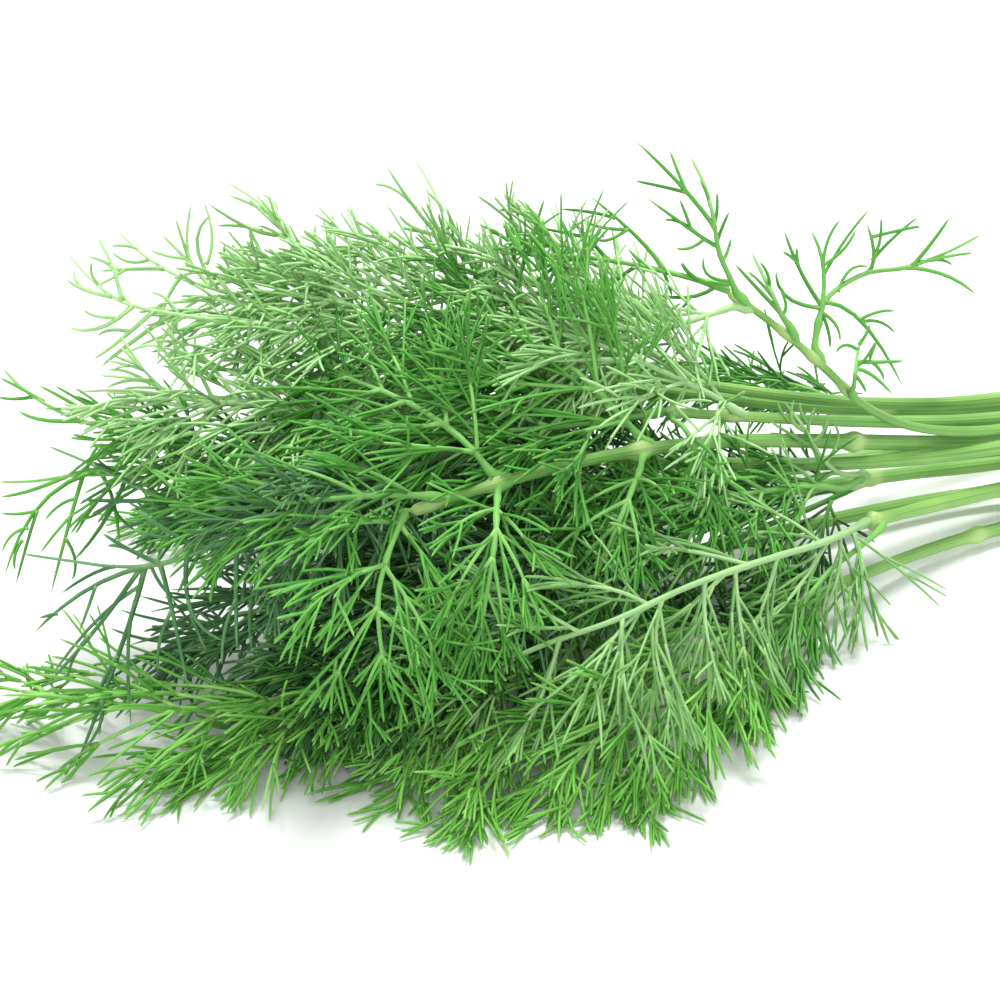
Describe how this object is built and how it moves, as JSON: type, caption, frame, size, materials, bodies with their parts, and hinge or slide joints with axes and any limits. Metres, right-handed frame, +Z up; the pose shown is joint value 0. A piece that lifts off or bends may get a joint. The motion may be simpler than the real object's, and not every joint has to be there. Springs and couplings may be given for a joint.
{
  "type": "bunch of dill",
  "caption": "Fresh cut dill lying on its side: bare green stems together at one end, feathery thread-like leaves fanned out at the other.",
  "frame": {"origin": "middle of the bunch's footprint, on the surface it lies on", "axes": "+X along the stems towards their cut ends, +Y across the bunch, +Z up"},
  "size_m": [0.2572, 0.115, 0.0747],
  "materials": {
    "stem": "smooth, waxy, finely ribbed, satin",
    "leaf_mid": "matte, thread-like",
    "leaf_pale": "matte with a powdery bloom, thread-like",
    "leaf_blue": "matte, blue-green, thread-like",
    "leaf_light": "matte, thread-like",
    "leaf_fresh": "matte, thread-like",
    "leaf_deep": "matte, thread-like"
  },
  "bodies": {
    "root": {"stem_01": "stem", "stem_02": "stem", "stem_03": "stem", "stem_04": "stem", "stem_05": "stem", "stem_06": "stem", "stem_07": "stem", "stem_08": "stem", "stem_09": "stem", "stem_10": "stem", "stem_11": "stem", "stem_12": "stem", "leaf_01": "leaf_mid", "leaf_02": "leaf_mid", "leaf_03": "leaf_mid", "leaf_04": "leaf_mid", "leaf_05": "leaf_mid", "leaf_06": "leaf_mid", "leaf_07": "leaf_pale", "leaf_08": "leaf_mid", "leaf_09": "leaf_mid", "leaf_10": "leaf_mid", "leaf_11": "leaf_mid", "leaf_12": "leaf_mid", "leaf_13": "leaf_deep", "leaf_14": "leaf_deep", "leaf_15": "leaf_mid", "leaf_16": "leaf_light", "leaf_17": "leaf_mid", "leaf_18": "leaf_pale", "leaf_19": "leaf_light", "leaf_20": "leaf_light", "leaf_21": "leaf_light", "leaf_22": "leaf_fresh", "leaf_23": "leaf_fresh", "leaf_24": "leaf_fresh", "leaf_25": "leaf_blue", "leaf_26": "leaf_blue", "leaf_27": "leaf_blue", "leaf_28": "leaf_light", "leaf_29": "leaf_light", "leaf_30": "leaf_light", "leaf_31": "leaf_light", "leaf_32": "leaf_light", "leaf_33": "leaf_mid", "leaf_34": "leaf_mid", "leaf_35": "leaf_light", "leaf_36": "leaf_blue", "leaf_37": "leaf_fresh", "leaf_38": "leaf_fresh", "leaf_39": "leaf_fresh", "leaf_40": "leaf_fresh", "leaf_41": "leaf_mid", "leaf_42": "leaf_deep", "leaf_43": "leaf_deep", "leaf_44": "leaf_mid", "leaf_45": "leaf_deep", "leaf_46": "leaf_deep", "leaf_47": "leaf_mid", "leaf_48": "leaf_mid"}
  },
  "joints": []
}
